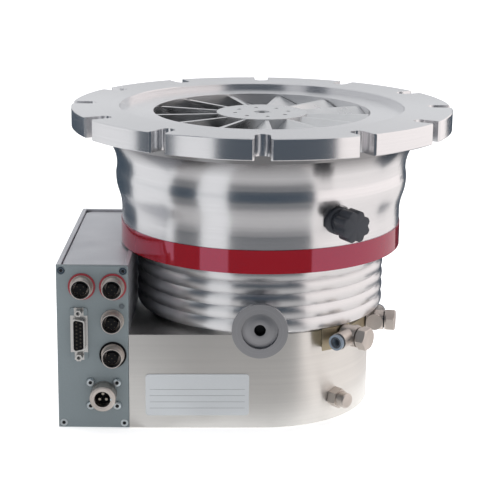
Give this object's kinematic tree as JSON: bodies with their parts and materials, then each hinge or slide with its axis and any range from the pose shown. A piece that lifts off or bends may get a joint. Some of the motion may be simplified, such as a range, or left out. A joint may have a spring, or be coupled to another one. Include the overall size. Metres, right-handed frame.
{
  "type": "turbomolecular pump",
  "caption": "Turbomolecular vacuum pump with a slotted inlet flange, turned bell housing, ribbed lower housing, bladed rotor, front foreline port and a side electronics box.",
  "frame": {"origin": "rotor axis at the underside of the base", "axes": "+Z along the rotor axis, out of the inlet; -Y towards the foreline port and the connector panel; the electronics box is on -X"},
  "size_m": [0.2885, 0.2846, 0.2265],
  "materials": {
    "turned_aluminium": "turned, bright",
    "ribbed_aluminium": "turned ribs, bright",
    "rotor_aluminium": "milled",
    "base_aluminium": "brushed, satin",
    "band": "deep red gloss",
    "port_metal": "matte",
    "nickel": "nickel plated, satin",
    "brass": "milled",
    "steel_screws": "zinc plated",
    "connector_steel": "tin plated",
    "contacts": "plated",
    "shaft_steel": "ground",
    "magnet_steel": "laminated",
    "panel_paint": "blue grey, fine texture",
    "box_metal": "grey, satin",
    "plate": "silver grey",
    "knob_plastic": "moulded",
    "collar_plastic": "moulded",
    "black_plastic": "moulded",
    "red_plastic": "moulded",
    "seals": "moulded",
    "board": "solder mask",
    "light": "lens"
  },
  "bodies": {
    "pump": {"upper_housing": "turned_aluminium", "lower_housing": "ribbed_aluminium", "housing_screws": "steel_screws", "color_band": "band", "base_body": "base_aluminium", "base_cover": "base_aluminium", "base_screws": "steel_screws", "seal_rings": "seals", "rating_plate": "plate", "foreline_port": "port_metal", "vent_collar": "knob_plastic", "water_block": "brass", "water_elbow_front": "nickel", "water_elbow_rear": "nickel", "banjo_bolts": "nickel", "banjo_washers": "seals", "seal_gas_nipple": "nickel", "seal_gas_plug": "nickel", "electronics_housing": "box_metal", "electronics_lid": "box_metal", "electronics_panel": "panel_paint", "electronics_mount_screws": "steel_screws", "circuit_board": "board", "panel_screws": "steel_screws", "accessory_rings": "red_plastic", "round_sockets": "nickel", "serial_ring": "black_plastic", "socket_inserts": "black_plastic", "remote_shell": "connector_steel", "remote_insert": "black_plastic", "jack_screws": "connector_steel", "supply_socket": "nickel", "supply_insert": "black_plastic", "supply_pins": "contacts", "supply_screws": "connector_steel", "status_light": "light", "stator_disc_1": "rotor_aluminium", "stator_disc_2": "rotor_aluminium", "stator_disc_3": "rotor_aluminium", "drag_sleeve": "ribbed_aluminium", "spacer_rings": "ribbed_aluminium", "bearing_carrier": "base_aluminium", "bearing_magnets": "magnet_steel", "motor_stator": "magnet_steel", "backup_races": "shaft_steel", "backup_balls": "shaft_steel"},
    "rotor": {"rotor_disc_1": "rotor_aluminium", "rotor_disc_2": "rotor_aluminium", "rotor_disc_3": "rotor_aluminium", "rotor_disc_4": "rotor_aluminium", "rotor_bolt": "steel_screws", "rotor_shaft": "shaft_steel", "drag_drum": "rotor_aluminium", "thrust_disc": "shaft_steel", "shaft_sleeves": "shaft_steel"},
    "vent_carrier": {"vent_seal": "seals"},
    "vent_screw": {"vent_stem": "steel_screws", "vent_knob": "knob_plastic"},
    "collar_front": {"release_collar_front": "collar_plastic"},
    "collar_rear": {"release_collar_rear": "collar_plastic"}
  },
  "joints": [
    {"name": "rotor_spin", "type": "hinge", "parent": "pump", "child": "rotor", "pos_m": [0, 0, 0.2], "axis": [0, 0, 1], "continuous": true},
    {"name": "vent_travel", "type": "slide", "parent": "pump", "child": "vent_carrier", "axis": [0.5, -0.866, 0], "range_m": [0, 0.00095]},
    {"name": "vent_turn", "type": "hinge", "parent": "vent_carrier", "child": "vent_screw", "pos_m": [0.05275, -0.09137, 0.16], "axis": [0.5, -0.866, 0], "range_deg": [0, 360]},
    {"name": "collar_front_press", "type": "slide", "parent": "pump", "child": "collar_front", "axis": [0.5736, 0.8192, 0], "range_m": [0, 0.0012], "stiffness_N_per_m": 2000, "springref_m": -0.0015},
    {"name": "collar_rear_press", "type": "slide", "parent": "pump", "child": "collar_rear", "axis": [-0.1736, -0.9848, 0], "range_m": [0, 0.0012], "stiffness_N_per_m": 2000, "springref_m": -0.0015}
  ],
  "couplings": [
    {"joint": "vent_travel", "follows": "vent_turn", "m_per_rad": 0.00014435}
  ]
}
